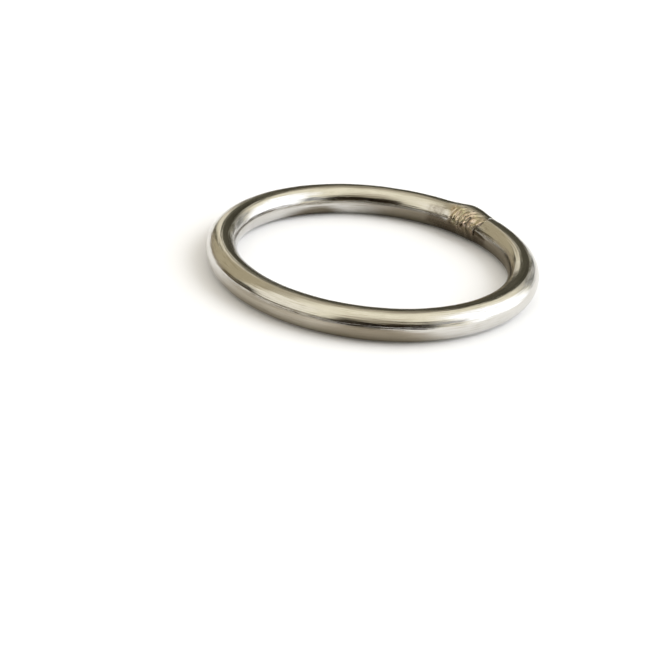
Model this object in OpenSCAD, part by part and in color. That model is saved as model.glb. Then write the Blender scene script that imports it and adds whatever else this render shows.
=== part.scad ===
// Welded hammock ring: one length of round steel bar, bent into a ring and
// closed by a single butt weld. The origin is the centre of the eye, halfway
// up the bar, and +Z runs through the eye. The ring lies flat on the bar.

/* [Ring] */
// Diameter of the round bar, mm
bar_d = 8; // [6:0.5:10]
// Inside diameter of the ring, mm
inner_d = 70; // [60:1:90]

/* [Weld] */
// Where the middle of the weld is, degrees from +X towards +Y
weld_at = 49; // [0:1:359]
// Length of the weld along the bar, in bar diameters
weld_len = 1.9; // [1.7:0.05:2.2]
// How far the weld metal stands proud of the bar, mm
weld_rise = 0.85; // [0.7:0.05:1.2]
// Number of ripples along the weld
ripples = 6; // [5:1:7]
// Height of the sharp edge where the weld ends, as a part of the rise
lip_height = 0.5; // [0.4:0.05:0.8]
// How far that edge leans over the bar, mm
lip_overhang = 0.25; // [0.1:0.05:0.5]
// Radius of the blow hole in the weld, mm
pit_r = 0.7; // [0.5:0.1:0.9]
// How far the dressed underside of the weld lies above the ring's underside, mm
underside_clear = 0.1; // [0.05:0.05:0.3]

/* [Hidden] */
$fn = 96;
bar_r = bar_d / 2;
R = inner_d / 2 + bar_r;                 // radius of the bar's centreline
half_w = weld_len * bar_d / R * 90 / PI; // half the weld, degrees round the ring

// s runs along the weld, 0 at the smooth end and 1 at the sharp edge
function ripple_angle(s) = half_w * (0.70 - 1.52 * s);
// The ripples are low at the smooth end and full over the middle
function ripple_size(s) = bar_r + weld_rise * (0.20 + 0.80 * sin(12 + 145 * s)) + 0.05 * sin(777 * s);
// Each ripple lies a little to the outside of the bar's centreline, and above it
function ripple_out(s) = 0.10 + 0.06 * sin(430 * s);
function ripple_lift(s) = 0.16 + 0.08 * sin(520 * s);

// The bar, bent right round
module bar() {
    rotate_extrude() translate([R, 0]) circle(r = bar_r);
}

// The tool that leaves the sharp edge: all that lies beyond a dished face
// square to the bar, at the end of the weld
module beyond_lip() {
    slope = lip_overhang / (weld_rise * lip_height);
    rotate([0, 0, -half_w]) translate([R, 0, 0]) rotate([90, 0, 0])
        rotate_extrude()
            polygon([[0, -bar_r * slope], [bar_d, bar_r * slope],
                     [bar_d, bar_d * 1.6], [0, bar_d * 1.6]]);
}

// Weld metal: a row of ripples, a sharp edge, a blow hole, and an underside
// dressed level so that the ring lies flat
module weld_metal() {
    difference() {
        intersection() {
            union() {
                for (i = [0 : ripples - 1]) {
                    s = i / (ripples - 1);
                    rotate([0, 0, ripple_angle(s)])
                        translate([R + ripple_out(s), 0, ripple_lift(s)])
                            sphere(r = ripple_size(s));
                }
                // the last ripple runs on as a low collar up to the edge
                rotate([0, 0, -half_w * 0.8]) translate([R + 0.12, 0, 0.2]) rotate([90, 0, 0])
                    cylinder(h = bar_d * 0.35, r = bar_r + weld_rise * lip_height);
            }
            translate([0, 0, -bar_r + underside_clear])
                linear_extrude(height = 3 * bar_d) circle(r = R + 2 * bar_d);
        }
        beyond_lip();
        rotate([0, 0, -half_w * 0.09])
            translate([R - bar_r - weld_rise, 0, bar_r * 0.08])
                sphere(r = pit_r);
    }
}

// The whole ring is one piece of metal once it is welded
module ring() {
    color([0.66, 0.65, 0.61])
        rotate([0, 0, weld_at])
            union() {
                bar();
                weld_metal();
            }
}

ring();
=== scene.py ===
# Blender 4.5 scene for one welded steel ring lying flat on a pale floor.
import math

import bpy
import numpy as np
from mathutils import Matrix, Vector, noise


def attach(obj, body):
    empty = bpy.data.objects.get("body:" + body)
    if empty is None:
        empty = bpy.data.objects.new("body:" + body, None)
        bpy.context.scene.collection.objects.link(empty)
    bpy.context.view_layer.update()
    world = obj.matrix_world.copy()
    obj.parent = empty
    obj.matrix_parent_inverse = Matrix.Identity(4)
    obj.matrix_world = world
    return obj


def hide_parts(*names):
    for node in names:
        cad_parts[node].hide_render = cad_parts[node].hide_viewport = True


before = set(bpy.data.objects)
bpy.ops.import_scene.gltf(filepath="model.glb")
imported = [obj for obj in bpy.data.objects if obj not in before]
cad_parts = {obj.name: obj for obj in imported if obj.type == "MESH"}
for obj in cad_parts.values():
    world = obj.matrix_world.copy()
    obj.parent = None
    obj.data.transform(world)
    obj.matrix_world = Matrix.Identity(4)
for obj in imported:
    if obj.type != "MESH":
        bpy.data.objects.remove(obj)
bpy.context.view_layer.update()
scene = bpy.context.scene
MM = 0.001

# ---------------------------------------------------------------- dimensions
R = 39.0          # radius of the bar's centreline, mm
A = 4.0           # radius of the bar, mm
WELD_AT = 49.0    # middle of the weld, degrees from +X towards +Y
HALF = 7.6        # half the weld's length along the bar, mm
FLOOR_Z = -A


# ---------------------------------------------------------------- camera
def make_camera():
    focal_px = 1800.0
    el, roll = math.radians(26.35), math.radians(6.03)
    scale_px = 151.18                       # image size of the centreline radius
    cx, cy = 372.67, 257.11                 # where the ring's centre falls in a 660 x 660 view
    right = Vector((1, 0, 0))
    down = Vector((0, -math.sin(el), -math.cos(el)))
    ahead = Vector((0, math.cos(el), -math.sin(el)))
    c, s = math.cos(roll), math.sin(roll)
    r2 = right * c - down * s
    d2 = right * s + down * c
    depth = focal_px / scale_px * R
    loc = -(r2 * ((cx - 330) / focal_px * depth) + d2 * ((cy - 330) / focal_px * depth) + ahead * depth)
    cam = bpy.data.cameras.new("camera")
    cam.sensor_width = 36.0
    cam.lens = focal_px / 660.0 * 36.0
    cam.clip_start, cam.clip_end = 0.01, 50
    ob = bpy.data.objects.new("camera", cam)
    scene.collection.objects.link(ob)
    m = Matrix((r2, -d2, -ahead)).transposed().to_4x4()
    m.translation = loc * MM
    ob.matrix_world = m
    scene.camera = ob
    return ob


make_camera()


# ---------------------------------------------------------------- the ring's mesh
def smooth(t):
    t = np.clip(t, 0.0, 1.0)
    return t * t * (3.0 - 2.0 * t)


def bump(x, centre, width):
    return np.exp(-((x - centre) / width) ** 2)


def ang(v, centre, width):
    """A smooth window in the angle round the bar, in degrees."""
    d = (v - centre + 180.0) % 360.0 - 180.0
    return np.exp(-(d / width) ** 2)


def noise_field(P, scale, seed, octaves=1):
    out = np.zeros(len(P))
    off = Vector((seed * 13.7, seed * 7.3, seed * 3.1))
    amp, sc, tot = 1.0, scale, 0.0
    for _ in range(octaves):
        out += amp * np.array([noise.noise(Vector(p) * sc + off) for p in P])
        tot += amp
        amp *= 0.5
        sc *= 2.1
    return out / tot


def ring_mesh():
    n_v = 160
    length = 2 * math.pi * R
    lip = -HALF
    K = 5                                   # lines down the face of the sharp edge
    # positions along the bar from the middle of the weld, mm
    a = np.arange(lip, HALF + 3.4, 0.1)               # over the weld, from the edge
    b = np.arange(lip - 4.0, lip - 0.02, 0.1)         # beyond the edge, on the bar
    rest = length - (a[-1] - b[0])
    n_rest = 262
    c = a[-1] + (np.arange(1, n_rest)) * rest / n_rest
    # order along the bar: b (bar), face (K lines), a (weld), c (the rest)
    x0 = np.concatenate([b, np.full(K, lip), a, c])
    kind = np.concatenate([np.zeros(len(b)), np.ones(K), np.full(len(a), 2), np.zeros(len(c))])
    v0 = np.arange(n_v) * 360.0 / n_v
    X, V = np.meshgrid(x0, v0, indexing="ij")
    KIND = np.repeat(kind[:, None], n_v, 1)

    def around(points, v):
        """A smooth periodic curve through (angle, value) points."""
        ang_, val = zip(*points)
        fine = np.interp(np.arange(-60, 420, 2.0), [q - 360 for q in ang_] + list(ang_) + [q + 360 for q in ang_], list(val) * 3)
        ker = np.hanning(13)
        fine = np.convolve(fine, ker / ker.sum(), mode="same")
        return np.interp(v % 360, np.arange(-60, 420, 2.0), fine)

    # where the sharp edge runs, and how high it stands against the middle of the weld
    edge = around([(0, -5.6), (60, -6.2), (82, -7.1), (105, -7.35), (132, -7.25), (147, -6.3), (158, -5.35), (175, -5.7),
                   (200, -5.3), (235, -5.2), (290, -5.3)], v0)
    edge = edge + 0.10 * np.sin(np.radians(9 * v0)) + 0.06 * np.sin(np.radians(17 * v0 + 50))
    stand = around([(0, 0.0), (34, 0.0), (50, 0.15), (66, 0.20), (80, 0.12), (96, 0.0), (114, 0.0), (126, 0.26), (136, 0.50),
                    (150, 0.60), (168, 0.56), (182, 0.34), (196, 0.08), (212, 0.0), (300, 0.0)], v0)
    proud = around([(0, 0.75), (40, 1.0), (62, 1.06), (80, 1.02), (96, 0.88), (114, 0.80), (140, 0.86), (165, 0.80), (185, 0.64),
                    (205, 0.46), (225, 0.22), (245, 0.03), (270, 0.0), (300, 0.02), (330, 0.35)], v0)
    XS = X + (edge - lip)[None, :] * np.exp(-((X - lip) / 4.5) ** 2)
    E, S, PR = edge[None, :], stand[None, :], proud[None, :]
    mid = -0.5
    rise = S + (1 - S) * smooth((XS - E) / (mid - E))
    fall = 1 - smooth((XS - mid) / 8.6)
    env = 0.88 * PR * np.where(XS < mid, rise, fall)
    metal = KIND >= 1
    on = np.where(metal, smooth((HALF + 0.6 - XS) / 2.5), 0.0)
    # the rippled face of the weld, on top and on the inside of the ring
    face_v = smooth((V - 98) / 26.0) * smooth((196 - V) / 26.0)
    face_x = smooth((5.0 - XS) / 1.6) * (1 - 0.75 * smooth((-2.9 - XS) / 1.0) * smooth((150 - V) / 14))
    face = on * face_v * face_x
    u = np.radians(WELD_AT) + XS / R
    flat = lambda arr: arr.reshape(-1)
    base = np.stack([flat(np.cos(u)) * (R + A * np.cos(np.radians(flat(V)))),
                     flat(np.sin(u)) * (R + A * np.cos(np.radians(flat(V)))),
                     A * np.sin(np.radians(flat(V)))], 1)
    near = flat((XS > lip - 3.4) & (XS < HALF + 3.2))
    n1, n2, n3 = np.zeros(len(base)), np.zeros(len(base)), np.zeros(len(base))
    n1[near] = noise_field(base[near], 0.55, 1, 2)
    n2[near] = noise_field(base[near], 1.9, 2, 2)
    n3[near] = noise_field(base[near], 0.30, 3, 1)
    n1, n2, n3 = (q.reshape(X.shape) for q in (n1, n2, n3))
    # crescent ripples: each swells slowly and ends in a narrow groove
    xc = XS + 0.00062 * (V - 165) ** 2 * (V < 165) + 0.00030 * (V - 165) ** 2 * (V >= 165) + 0.22 * n3 + 0.16 * n1
    crests = [(3.0, 0.15, 0.50), (1.35, 0.19, 0.44), (-0.2, 0.19, 0.42), (-1.85, 0.23, 0.50), (-3.85, 0.15, 0.70)]
    grooves = [(2.15, 0.10, 0.30), (0.60, 0.18, 0.30), (-1.05, 0.16, 0.28), (-2.85, 0.28, 0.32), (4.1, 0.10, 0.38)]
    rip = np.zeros_like(X)
    for xr, hh, ww in crests:
        rip += hh * bump(xc, xr, ww)
    for xr, hh, ww in grooves:
        rip -= hh * bump(xc, xr, ww)
    # the raised border just inside the sharp edge
    brow = 0.11 * bump(XS, E + 0.55, 0.42) * smooth((V - 104) / 20) * smooth((186 - V) / 16)
    hollow = -0.09 * bump(XS, E + 1.9, 0.8) * smooth((V - 118) / 22) * smooth((178 - V) / 16)

    def spot(x, v, rr, hh, power=2.0):
        dv = ((V - v + 180) % 360 - 180) * math.pi / 180 * A
        d = np.sqrt((XS - x) ** 2 + dv ** 2) / rr
        return hh * np.exp(-d ** power)

    dents = (spot(-0.94, 173, 0.52, -0.62, 3.0) + spot(-2.35, 166, 0.62, 0.16) + spot(1.0, 171, 0.42, -0.18)
             + spot(3.85, 177, 0.45, -0.10) + spot(1.42, 123, 0.42, -0.08) + spot(1.1, 136, 0.38, -0.12)
             + spot(-1.15, 124, 0.42, -0.14) + spot(3.3, 110, 0.40, -0.04) + spot(-4.9, 139, 0.55, 0.06)
             + spot(-0.1, 160, 0.40, 0.08) + spot(2.3, 176, 0.55, 0.07) + spot(-4.2, 170, 0.45, 0.08)
             + spot(-3.3, 181, 0.40, -0.10) + spot(0.6, 186, 0.60, 0.06) + spot(-5.2, 106, 0.55, -0.07)
             + spot(-2.2, 108, 0.60, 0.05))
    # shallow marks across the bar low on the inside
    low = smooth((V - 176) / 14) * smooth((238 - V) / 18)
    marks = np.zeros_like(X)
    for xr, hh, ww in ((-2.4, 0.05, 0.22), (-3.4, -0.05, 0.26), (-4.4, 0.04, 0.22), (-5.1, -0.05, 0.20), (0.7, -0.03, 0.3),
                       (4.2, -0.035, 0.22), (5.4, 0.03, 0.35), (2.6, -0.03, 0.25), (-7.9, -0.02, 0.2)):
        marks += hh * bump(XS + 0.1 * n3, xr, ww)
    h = env * (1 + 0.16 * n3 * face_x)
    h = h + face * (rip * np.clip(0.92 + 0.4 * n3 + 1.35 * n1 + 0.5 * n2, 0.12, 1.7) + 0.22 * n1 + 0.11 * n2) + on * (brow + hollow) + np.where(metal, dents, 0.0) * smooth((7 - XS) / 2)
    h = h + on * PR * (0.012 * n1 + 0.003 * n2) + on * PR * smooth((V - 84) / 24) * (1 - face_v) * face_x * 0.05 * rip
    h = h + marks * low * smooth((9 - np.abs(XS)) / 2)
    # bar on either side of the weld
    h = np.where(KIND == 0, marks * low * smooth((9 - np.abs(XS)) / 2), h)
    nick_x = 9.6 - 0.03 * (V - 145)
    h = h - 0.020 * bump(XS, nick_x, 0.24) * smooth((V - 118) / 12) * smooth((178 - V) / 10)
    h = h + 0.012 * bump(XS, nick_x - 0.7, 0.4) * smooth((V - 118) / 12) * smooth((178 - V) / 10)
    h = h - (0.03 + 0.06 * smooth((V - 150) / 14)) * bump(XS, E - 0.20, 0.24) * (KIND == 0) * smooth(S / 0.2)
    crease = (KIND == 0) * smooth((XS + 13.0) / 4.5) * smooth((-5.4 - XS) / 0.4)
    crease_v = 172.5 - 1.4 * (XS + 6)
    h = h + (KIND == 0) * spot(-7.2, 164, 0.5, 0.05) - 0.06 * crease * bump(V, crease_v + 1.0, 5.0)
    # the face of the edge, leaning out over the bar
    ja = len(b) + K
    top, foot = h[ja], h[len(b) - 1]
    sharp = np.clip(stand / 0.3, 0, 1)
    lean = 0.25 * np.clip(stand / 0.5, 0, 1) * (0.35 + 0.65 * smooth((v0 - 148) / 16))
    for k in range(K):
        j, f = len(b) + k, (k + 0.5) / K
        h[j] = foot - 0.04 * sharp * (1 - f) + (top - foot) * (f ** 0.85)
        XS[j] = edge + (lean * (1 - f) ** 0.6 * 0.9 + 0.02) * sharp - 0.02 * (1 - sharp) * (1 - f)
    XS[ja] = edge - 0.04 * sharp
    XS[:len(b)] = np.minimum(XS[:len(b)], (edge + 0.02 * sharp - 0.03 * (1 - sharp))[None, :])
    # slow unevenness of the drawn and polished bar
    ug = np.radians(WELD_AT) + XS / R
    vr = np.radians(V)
    wave = (0.010 * np.sin(7 * ug + 1.3 * np.sin(vr)) + 0.007 * np.sin(13 * ug - 2 * vr + 0.8)
            + 0.006 * np.sin(23 * ug + vr * 1.0 + 2.1) + 0.004 * np.sin(41 * ug - 3 * vr))
    h = h + wave * (1 - np.clip(ang(V, 270, 40), 0, 1))
    rad = A + h
    px = np.cos(ug) * (R + rad * np.cos(vr))
    py = np.sin(ug) * (R + rad * np.cos(vr))
    pz = np.maximum(rad * np.sin(vr), -A)
    verts = np.stack([flat(px), flat(py), flat(pz)], 1) * MM
    nu = len(x0)
    i = np.arange(nu)[:, None]
    j = np.arange(n_v)[None, :]
    i2, j2 = (i + 1) % nu, (j + 1) % n_v
    quads = np.stack([i * n_v + j, i2 * n_v + j, i2 * n_v + j2, i * n_v + j2], -1).reshape(-1, 4)
    me = bpy.data.meshes.new("ring_body")
    me.from_pydata(verts.tolist(), [], quads.tolist())
    me.update()
    me.validate()
    me.shade_smooth()
    # masks for the finish and for the painted shade
    weld = np.where(metal, smooth((5.6 - XS + 1.2 * n3 + 0.8 * n1) / 2.6) * smooth((V - 90 + 14 * n3) / 30) * smooth((208 - V) / 28)
                    * smooth((XS - E + 0.2) / 0.3), 0.0)
    heat = np.exp(-np.maximum(E - XS, 0) / 7.0) * np.exp(-np.maximum(XS - 6.0, 0) / 5.5)
    heat = np.where(np.abs(XS) > 60, 0.0, heat)
    # partly a dull grey-brown skin that the polish didn't reach, low on the inside, and partly painted shade: it
    # darkens the low inner side where the steel would mirror the shaded floor next to the bar
    skin_and_shade = np.exp(-(np.maximum(-XS - 5, 0) / 8.0) ** 1.4) * np.exp(-(np.maximum(XS - 4, 0) / 6.0) ** 1.6)
    skin_and_shade = skin_and_shade * smooth((V - 162) / 26.0) * smooth((262 - V) / 30.0)
    skin_and_shade = skin_and_shade * (1 - 0.45 * bump(XS, -2.5, 0.5) - 0.55 * bump(XS, -5.0, 0.55) - 0.35 * bump(XS, 0.4, 0.6) + 0.3 * bump(XS, -3.8, 0.5))
    # painted reflection: a dark line along the crease on the bar beyond the sharp edge
    skin_and_shade = np.maximum(skin_and_shade, 0.95 * bump(V, crease_v, 7.0) * crease)
    skin_and_shade = np.maximum(skin_and_shade, 0.34 * bump(V, 134 - 1.2 * (XS + 8), 9.0) * smooth((-6.8 - XS) / 1.5) * smooth((XS + 22) / 8) * (KIND == 0))
    skin_and_shade = skin_and_shade * (1 - 0.35 * bump(XS, 0, 4.5)) + 0.46 * smooth((XS - 4.5) / 3) * smooth((14.0 - XS) / 4) * smooth((V - 118) / 14) * smooth((215 - V) / 20)
    skin_and_shade = np.where(np.abs(XS) > 60, 0.0, skin_and_shade)
    # painted shade: darker colour down in the ripple grooves and pits, and a painted dark line along the crease
    groove_shade = np.clip(-(face * rip * 3.2 + np.where(metal, dents, 0.0) * 2.6), 0, 1)
    groove_shade = np.maximum(groove_shade, 0.95 * crease * bump(V, crease_v, 6.5))
    for name, arr in (("weld", weld), ("heat", heat), ("skin_and_shade", skin_and_shade), ("painted_groove_shade", groove_shade)):
        at = me.attributes.new(name, "FLOAT", "POINT")
        at.data.foreach_set("value", flat(arr).astype(np.float32))
    # the map runs along the bar from the sharp edge right round to it again, and once about the section
    along = XS - E
    along[:len(b)] += length
    along[len(b):len(b) + K] = 0.0
    uv = me.uv_layers.new(name="bar")
    li = np.empty(len(me.loops), dtype=np.int32)
    me.loops.foreach_get("vertex_index", li)
    quv = np.stack([flat(along)[li] / length, (li % n_v) / n_v], 1).reshape(-1, 4, 2)
    strip = np.arange(len(quv)) // n_v
    q = quv[:, :, 0]
    q[(strip == len(b) - 1)[:, None] & (q < 0.5)] = 1.0
    q = quv[:, :, 1]
    span = (q.max(1) - q.min(1)) > 0.5
    q[span[:, None] & (q < 0.5)] += 1.0
    uv.data.foreach_set("uv", quv.reshape(-1).astype(np.float32))
    ob = bpy.data.objects.new("ring_body", me)
    scene.collection.objects.link(ob)
    return ob


# ---------------------------------------------------------------- node helpers
class Tree:
    def __init__(self, nt):
        self.nt = nt
        self.col = 0

    def node(self, kind, **props):
        n = self.nt.nodes.new(kind)
        self.col += 1
        n.location = (-1800 + 40 * self.col, 300 - 60 * (self.col % 12))
        for k, v in props.items():
            setattr(n, k, v)
        return n

    def put(self, sock, value):
        if isinstance(value, bpy.types.NodeSocket):
            self.nt.links.new(value, sock)
        else:
            sock.default_value = value

    def math(self, op, a, b=0.0, c=0.0, clamp=False):
        n = self.node("ShaderNodeMath", operation=op, use_clamp=clamp)
        for s, v in zip(n.inputs, (a, b, c)):
            self.put(s, v)
        return n.outputs[0]

    def step(self, x, lo, hi, out0=0.0, out1=1.0):
        n = self.node("ShaderNodeMapRange", interpolation_type="SMOOTHSTEP", clamp=True)
        for s, v in zip(n.inputs, (x, lo, hi, out0, out1)):
            self.put(s, v)
        return n.outputs[0]

    def mix(self, fac, a, b, blend="MIX"):
        n = self.node("ShaderNodeMix", data_type="RGBA", blend_type=blend)
        self.put(n.inputs[0], fac)
        self.put(n.inputs[6], a)
        self.put(n.inputs[7], b)
        return n.outputs[2]

    def noise(self, vec, scale, detail=2.0, rough=0.5, dist=0.0):
        n = self.node("ShaderNodeTexNoise")
        self.put(n.inputs["Vector"], vec)
        n.inputs["Scale"].default_value = scale
        n.inputs["Detail"].default_value = detail
        n.inputs["Roughness"].default_value = rough
        n.inputs["Distortion"].default_value = dist
        return n.outputs[0]


# ---------------------------------------------------------------- the steel
def steel_material():
    mat = bpy.data.materials.new("polished_steel")
    mat.use_nodes = True
    nt = mat.node_tree
    nt.nodes.clear()
    t = Tree(nt)
    out = t.node("ShaderNodeOutputMaterial")
    p = t.node("ShaderNodeBsdfPrincipled")
    nt.links.new(p.outputs[0], out.inputs[0])
    p.inputs["Metallic"].default_value = 1.0
    weld = t.node("ShaderNodeAttribute", attribute_name="weld").outputs["Fac"]
    heat = t.node("ShaderNodeAttribute", attribute_name="heat").outputs["Fac"]
    sep = t.node("ShaderNodeSeparateXYZ")
    nt.links.new(t.node("ShaderNodeUVMap", uv_map="bar").outputs[0], sep.inputs[0])
    # object space in mm
    tc = t.node("ShaderNodeTexCoord").outputs["Object"]
    vm = t.node("ShaderNodeVectorMath", operation="SCALE")
    nt.links.new(tc, vm.inputs[0])
    vm.inputs["Scale"].default_value = 1000.0
    P = vm.outputs[0]
    # coordinates that run along the bar: x along in mm, y and z round the section
    turn = t.math("MULTIPLY", sep.outputs[1], 2 * math.pi)
    sa = t.math("SINE", turn)
    ca = t.math("COSINE", turn)
    cmb = t.node("ShaderNodeCombineXYZ")
    t.put(cmb.inputs[0], t.math("MULTIPLY", sep.outputs[0], 2 * math.pi * R * 0.045))
    t.put(cmb.inputs[1], t.math("MULTIPLY", sa, 4.0))
    t.put(cmb.inputs[2], t.math("MULTIPLY", ca, 4.0))
    G = cmb.outputs[0]
    streak = t.noise(G, 2.6, 4.0, 0.62)
    haze = t.noise(P, 0.16, 3.0, 0.55)
    groove_shade = t.node("ShaderNodeAttribute", attribute_name="painted_groove_shade").outputs["Fac"]
    # base colour: a slightly warm grey metal, with faint clouding
    col = t.mix(t.step(haze, 0.35, 0.68), (0.645, 0.630, 0.598, 1), (0.690, 0.676, 0.645, 1))
    # heat tint: straw, then tan, close to the weld
    hn = t.math("ADD", heat, t.math("MULTIPLY", t.math("SUBTRACT", t.noise(P, 0.45, 3.0, 0.6), 0.5), 0.5))
    col = t.mix(t.step(hn, 0.08, 0.70, 0.0, 0.85), col, (0.510, 0.452, 0.360, 1))
    blush = t.step(t.math("ADD", t.noise(P, 0.30, 2.0, 0.5), t.math("MULTIPLY", t.math("SUBTRACT", streak, 0.5), 0.5)), 0.46, 0.60)
    col = t.mix(t.math("MULTIPLY", blush, t.step(hn, 0.15, 0.60, 0.0, 0.8)), col, (0.520, 0.400, 0.315, 1))
    # weld metal: bronze and pinkish tan (the painted shade down in its grooves is added further on)
    w1 = t.noise(P, 0.55, 3.0, 0.55)
    wc = t.mix(t.step(w1, 0.40, 0.62), (0.510, 0.455, 0.350, 1), (0.800, 0.680, 0.590, 1))
    wc = t.mix(t.step(t.noise(P, 1.3, 3.0, 0.6), 0.52, 0.68, 0.0, 0.6), wc, (0.350, 0.295, 0.215, 1))
    wc = t.mix(t.step(t.noise(P, 0.9, 2.0, 0.5), 0.56, 0.66, 0.0, 0.65), wc, (0.640, 0.620, 0.430, 1))
    col = t.mix(weld, col, wc)
    # dark grey-brown low on the inside: partly real unpolished skin, partly painted shade
    skin_and_shade = t.node("ShaderNodeAttribute", attribute_name="skin_and_shade").outputs["Fac"]
    skin_and_shade_fac = t.math("ADD", skin_and_shade, t.math("MULTIPLY", t.math("SUBTRACT", t.noise(P, 0.8, 4.0, 0.6), 0.5), 0.7))
    skin_and_shade_fac = t.math("MULTIPLY", skin_and_shade_fac, t.step(skin_and_shade, 0.02, 0.2))
    col = t.mix(t.step(skin_and_shade_fac, 0.10, 0.80, 0.0, 0.88), col, (0.285, 0.250, 0.210, 1))
    # fine polishing lines, a little duller than the metal between them
    fine = t.noise(G, 4.2, 3.0, 0.6)
    lined = t.math("MULTIPLY", t.step(fine, 0.48, 0.36), t.step(t.noise(P, 0.11, 2.0, 0.5), 0.36, 0.60, 0.25, 1.0))
    # painted shade: near black down in the weld's grooves and pits and along the crease
    col = t.mix(t.step(groove_shade, 0.05, 0.65, 0.0, 0.80), col, (0.130, 0.105, 0.070, 1))
    # the fine polishing lines dull the colour a little, off the weld
    col = t.mix(t.math("MULTIPLY", lined, t.math("SUBTRACT", 1.0, weld)), col, (0.85, 0.83, 0.79, 1), "MULTIPLY")
    t.put(p.inputs["Base Color"], col)
    # roughness: bright polish with wiped streaks, a little rougher on the weld
    rbar = t.math("ADD", t.step(streak, 0.30, 0.75, 0.12, 0.20), t.step(haze, 0.40, 0.75, 0.0, 0.03))
    rbar = t.math("ADD", rbar, t.math("MULTIPLY", heat, 0.05))
    rweld = t.step(w1, 0.3, 0.7, 0.17, 0.27)
    nmix = t.node("ShaderNodeMix", data_type="FLOAT")
    t.put(nmix.inputs[0], weld)
    t.put(nmix.inputs[2], rbar)
    t.put(nmix.inputs[3], rweld)
    t.put(p.inputs["Roughness"], t.math("ADD", nmix.outputs[0], t.step(skin_and_shade_fac, 0.1, 0.8, 0.0, 0.10)))
    # broad and fine lines along the bar, and fine grain on the weld
    broad = t.noise(G, 1.5, 3.0, 0.5)
    b0 = t.node("ShaderNodeBump")
    b0.inputs["Strength"].default_value = 1.0
    b0.inputs["Distance"].default_value = 0.00009
    t.put(b0.inputs["Height"], broad)
    lines = t.noise(G, 5.5, 3.0, 0.55)
    b1 = t.node("ShaderNodeBump")
    b1.inputs["Strength"].default_value = 0.5
    b1.inputs["Distance"].default_value = 0.00001
    t.put(b1.inputs["Height"], lines)
    t.put(b1.inputs["Normal"], b0.outputs[0])
    b2 = t.node("ShaderNodeBump")
    b2.inputs["Distance"].default_value = 0.00005
    t.put(b2.inputs["Strength"], t.math("MULTIPLY", weld, 0.6))
    t.put(b2.inputs["Height"], t.noise(P, 3.5, 3.0, 0.6))
    t.put(b2.inputs["Normal"], b1.outputs[0])
    t.put(p.inputs["Normal"], b2.outputs[0])
    return mat


ring = ring_mesh()
ring.data.materials.append(steel_material())
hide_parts("ring")
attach(ring, "root")


# ---------------------------------------------------------------- floor
def floor():
    me = bpy.data.meshes.new("floor")
    s = 3.0
    z = FLOOR_Z * MM
    me.from_pydata([(-s, -s, z), (s, -s, z), (s, s, z), (-s, s, z)], [], [(0, 1, 2, 3)])
    ob = bpy.data.objects.new("floor", me)
    scene.collection.objects.link(ob)
    mat = bpy.data.materials.new("floor_card")
    mat.use_nodes = True
    p = mat.node_tree.nodes["Principled BSDF"]
    nt = mat.node_tree
    t = Tree(nt)
    sep = t.node("ShaderNodeSeparateXYZ")
    nt.links.new(t.node("ShaderNodeTexCoord").outputs["Object"], sep.inputs[0])
    x = t.math("MULTIPLY", sep.outputs[0], 1000.0)
    y = t.math("MULTIPLY", sep.outputs[1], 1000.0)
    r = t.math("SQRT", t.math("ADD", t.math("MULTIPLY", x, x), t.math("MULTIPLY", y, y)))

    def area_(x0, x1, y0, y1, soft):
        m = t.math("MULTIPLY", t.step(x, x0 - soft, x0 + soft), t.step(x, x1 + soft, x1 - soft))
        n = t.math("MULTIPLY", t.step(y, y0 - soft, y0 + soft), t.step(y, y1 + soft, y1 - soft))
        return t.math("MULTIPLY", m, n)

    # painted shade: rays mirrored off the steel see this floor with dark patches of painted shade inside, beside and in
    # front of the ring, while the camera and diffuse light see the plain pale floor
    col = (0.86, 0.86, 0.86, 1)
    inside = t.step(r, 41.0, 36.0)
    col = t.mix(t.math("MULTIPLY", t.step(r, 34.0, 29.0), area_(-60, 6, -40, 17, 5)), col, (0.03, 0.026, 0.018, 1))
    col = t.mix(t.math("MULTIPLY", inside, area_(-2, 60, 6, 60, 7)), col, (0.27, 0.24, 0.19, 1))
    outside = t.step(r, 38.0, 42.0)
    col = t.mix(t.math("MULTIPLY", outside, area_(-46, 18, -150, -20, 8)), col, (0.56, 0.52, 0.45, 1))
    col = t.mix(t.math("MULTIPLY", outside, area_(-12, 15, -150, -20, 8)), col, (0.34, 0.30, 0.235, 1))
    col = t.mix(t.math("MULTIPLY", t.step(r, 44.0, 58.0), area_(-130, -30, -160, -16, 12)), col, (0.38, 0.345, 0.28, 1))
    col = t.mix(area_(-30, 14, -500, -66, 10), col, (0.10, 0.085, 0.06, 1))
    col = t.mix(t.math("MULTIPLY", t.step(r, 44.0, 40.0), area_(-36, -10, 28, 44, 3)), col, (0.25, 0.22, 0.17, 1))
    # only glossy rays get the painted shade, every other ray gets the plain floor colour
    col = t.mix(t.node("ShaderNodeLightPath").outputs["Is Glossy Ray"], (0.90, 0.90, 0.90, 1), col)
    nt.links.new(col, p.inputs["Base Color"])
    p.inputs["Roughness"].default_value = 0.75
    p.inputs["Specular IOR Level"].default_value = 0.25
    me.materials.append(mat)
    return ob


floor()


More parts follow.
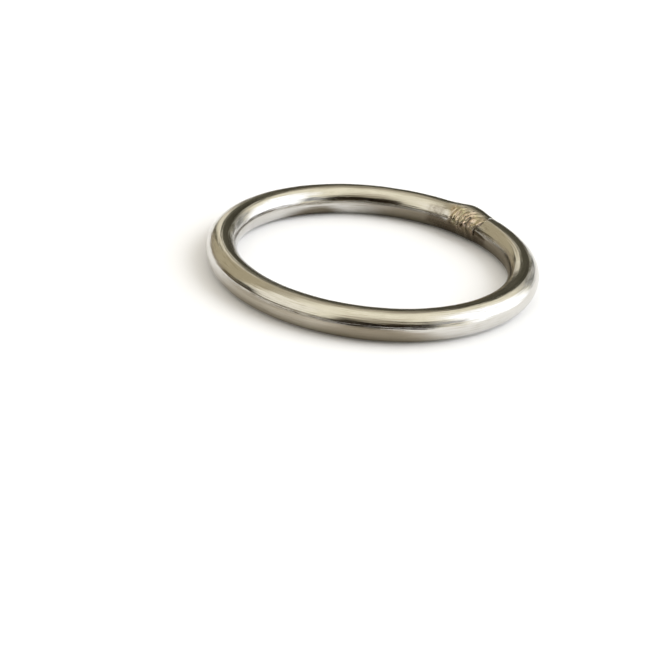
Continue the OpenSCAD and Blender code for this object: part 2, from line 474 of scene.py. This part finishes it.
# ---------------------------------------------------------------- studio
def studio_world():
    w = bpy.data.worlds.new("studio")
    scene.world = w
    w.use_nodes = True
    nt = w.node_tree
    nt.nodes.clear()
    t = Tree(nt)
    out = t.node("ShaderNodeOutputWorld")
    bg = t.node("ShaderNodeBackground")
    nt.links.new(bg.outputs[0], out.inputs[0])
    d = t.node("ShaderNodeTexCoord").outputs["Generated"]
    sep = t.node("ShaderNodeSeparateXYZ")
    nt.links.new(d, sep.inputs[0])
    x, y, z = sep.outputs
    az = t.math("DEGREES", t.math("ARCTAN2", x, y))     # 0 is +Y, 90 is +X
    el = t.math("DEGREES", t.math("ARCSINE", z))
    # nothing in a real room has ruled edges
    az = t.math("ADD", az, t.math("MULTIPLY", t.math("SUBTRACT", t.noise(d, 6.0, 4.0, 0.6), 0.5), 13.0))
    off = t.node("ShaderNodeVectorMath", operation="ADD")
    nt.links.new(d, off.inputs[0])
    off.inputs[1].default_value = (7.3, 2.1, 4.9)
    el = t.math("ADD", el, t.math("MULTIPLY", t.math("SUBTRACT", t.noise(off.outputs[0], 6.0, 4.0, 0.6), 0.5), 12.0))

    def patch(a0, a1, e0, e1, sa=10.0, se=8.0):
        m = t.math("MULTIPLY", t.step(az, a0 - sa, a0 + sa), t.step(az, a1 + sa, a1 - sa))
        e = t.math("MULTIPLY", t.step(el, e0 - se, e0 + se), t.step(el, e1 + se, e1 - se))
        return t.math("MULTIPLY", m, e)

    def tone(r, g, b_, gain=1.0):
        """Light that looks like this screen colour once it is mirrored in the steel."""
        lin = [((q / 255 + 0.055) / 1.055) ** 2.4 / m * gain for q, m in zip((r, g, b_), (0.66, 0.645, 0.615))]
        return (*lin, 1)

    # overhead: warm pale ceiling, duller where it meets the far wall and towards the camera's side
    col = tone(222, 214, 190)
    col = t.mix(patch(-75, 24, 36, 66, 14, 12), col, tone(158, 149, 127))
    for a0, a1 in ((146, 200), (-200, -160)):
        col = t.mix(patch(a0, a1, 10, 66, 14, 16), col, tone(172, 163, 142))
        col = t.mix(patch(a0, a1, 10, 46, 12, 12), col, tone(120, 110, 90))
    # far left: khaki wall, duller low down
    col = t.mix(patch(-82, -18, -40, 54, 8, 9), col, tone(158, 147, 120))
    col = t.mix(patch(-80, -24, -40, 10, 8, 8), col, tone(128, 117, 99))
    # straight back: pale low down, a dark opening above it with a light strip on its left
    col = t.mix(patch(-20, 60, -40, 6, 7, 6), col, tone(252, 251, 248))
    col = t.mix(patch(-25, -13, 0, 9, 3, 4), col, tone(136, 128, 108))
    col = t.mix(patch(-13, -5, -20, 12, 3, 4), col, tone(96, 88, 72))
    col = t.mix(patch(-8, 26, 13, 42, 4, 5), col, tone(72, 68, 55))
    col = t.mix(patch(-9, 17, -2, 17, 4, 2.5), col, tone(60, 56, 45))
    col = t.mix(patch(7, 24, 22, 48, 5, 5), col, tone(54, 51, 40))
    col = t.mix(patch(20, 28, 1, 15, 2.5, 4), col, tone(64, 61, 50))
    clutter = t.mix(t.step(t.noise(off.outputs[0], 14.0, 3.0, 0.6), 0.50, 0.60), tone(96, 95, 88), tone(206, 203, 196))
    col = t.mix(patch(26, 46, 0, 28, 5, 6), col, clutter)
    col = t.mix(patch(-14.5, -11.5, 8, 36, 1.5, 5), col, tone(214, 205, 186))
    col = t.mix(patch(-27, -21, 4, 27, 2.5, 5), col, tone(34, 29, 18))
    # left: pale, with one dark upright and a dark line low down
    col = t.mix(patch(-138, -86, -40, 60, 7, 12), col, tone(222, 215, 197))
    col = t.mix(patch(-190, -66, 2, 14, 6, 4), col, tone(70, 60, 42))
    col = t.mix(patch(-97, -80, 8, 26, 5, 4), col, tone(24, 19, 10))
    # the camera's side: dark
    col = t.mix(patch(132, 200, -40, 35, 7, 6), col, tone(20, 15, 8))
    col = t.mix(patch(135, 168, 14, 40, 7, 6), col, tone(40, 32, 20))
    col = t.mix(patch(-200, -160, -40, 37, 5, 6), col, tone(28, 21, 12))
    col = t.mix(patch(-200, -142, -40, 18, 5, 5), col, tone(34, 27, 16))
    # right: large bright window, and a dull strip beside it
    col = t.mix(patch(112, 132, 12, 32, 5, 5), col, tone(128, 129, 131))
    col = t.mix(patch(52, 110, -40, 56, 6, 12), col, tone(255, 255, 255, 1.10))
    nt.links.new(col, bg.inputs["Color"])
    bg.inputs["Strength"].default_value = 1.0
    # what lights the floor: a neutral room with the same window on the right
    bg2 = t.node("ShaderNodeBackground")
    soft = t.mix(patch(52, 124, 4, 60, 14, 14), (0.92, 0.885, 0.825, 1), (5.0, 5.12, 5.3, 1))
    nt.links.new(soft, bg2.inputs["Color"])
    # past the floor's edge the camera sees a plain pale backdrop
    bg3 = t.node("ShaderNodeBackground")
    bg3.inputs["Color"].default_value = (1.0, 1.0, 1.0, 1)
    lp = t.node("ShaderNodeLightPath")
    m1 = t.node("ShaderNodeMixShader")
    nt.links.new(lp.outputs["Is Diffuse Ray"], m1.inputs[0])
    nt.links.new(bg.outputs[0], m1.inputs[1])
    nt.links.new(bg2.outputs[0], m1.inputs[2])
    m2 = t.node("ShaderNodeMixShader")
    nt.links.new(lp.outputs["Is Camera Ray"], m2.inputs[0])
    nt.links.new(m1.outputs[0], m2.inputs[1])
    nt.links.new(bg3.outputs[0], m2.inputs[2])
    nt.links.new(m2.outputs[0], out.inputs[0])
    w.cycles.sampling_method = "MANUAL"
    w.cycles.sample_map_resolution = 512


studio_world()


scene.view_settings.view_transform = "Standard"
scene.view_settings.look = "None"
